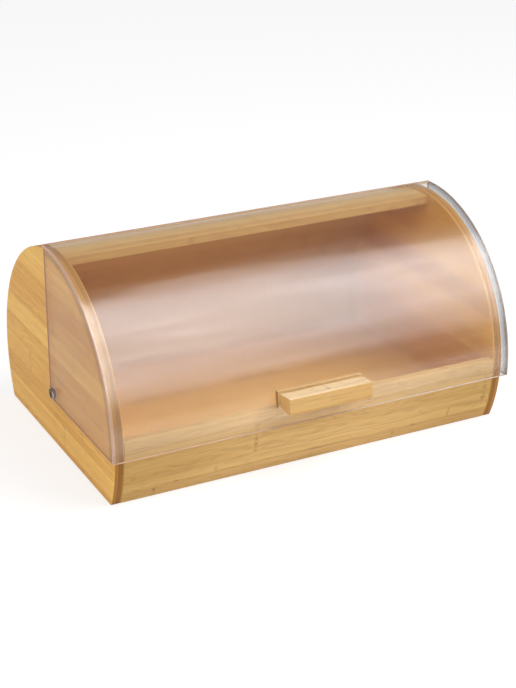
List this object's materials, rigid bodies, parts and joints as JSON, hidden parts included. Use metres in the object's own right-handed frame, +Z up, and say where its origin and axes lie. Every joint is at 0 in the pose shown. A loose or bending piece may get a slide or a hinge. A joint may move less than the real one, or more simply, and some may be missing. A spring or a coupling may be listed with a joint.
{
  "type": "bread box",
  "caption": "Bread box of bamboo boards with round side panels, a bent back shell and a swinging hood lid of frosted acrylic with a short bamboo handle.",
  "frame": {"origin": "The underside at mid width, straight below the lid's pivot axis.", "axes": "+X to the right along the pivot axis, -Y to the front, +Z up."},
  "size_m": [0.4018, 0.2903, 0.1945],
  "materials": {
    "bamboo": "sanded and clear oiled, strips side by side",
    "dowel_wood": "plain turned dowel",
    "frosted_acrylic": "frosted and translucent, edges polished",
    "steel": "nickel plated",
    "brass": "turned",
    "nylon": "natural white"
  },
  "bodies": {
    "box": {"side_panel_left": "bamboo", "side_panel_right": "bamboo", "bottom_board": "bamboo", "front_board": "bamboo", "back_shell": "bamboo", "front_board_dowels": "dowel_wood", "bottom_board_dowels": "dowel_wood", "front_seam_dowels": "dowel_wood", "pivot_insert_left": "brass", "pivot_insert_right": "brass", "pivot_washer_left": "nylon", "pivot_washer_right": "nylon", "pivot_screw_left": "steel", "pivot_screw_right": "steel"},
    "lid": {"lid_sheet": "frosted_acrylic", "lid_cheek_left": "frosted_acrylic", "lid_cheek_right": "frosted_acrylic", "handle_bar": "bamboo", "handle_backing_strip": "bamboo", "handle_screws": "steel"}
  },
  "joints": [
    {"name": "lid", "type": "hinge", "parent": "box", "child": "lid", "pos_m": [0, 0, 0.055], "axis": [-1, 0, 0], "range_deg": [0, 105]}
  ]
}
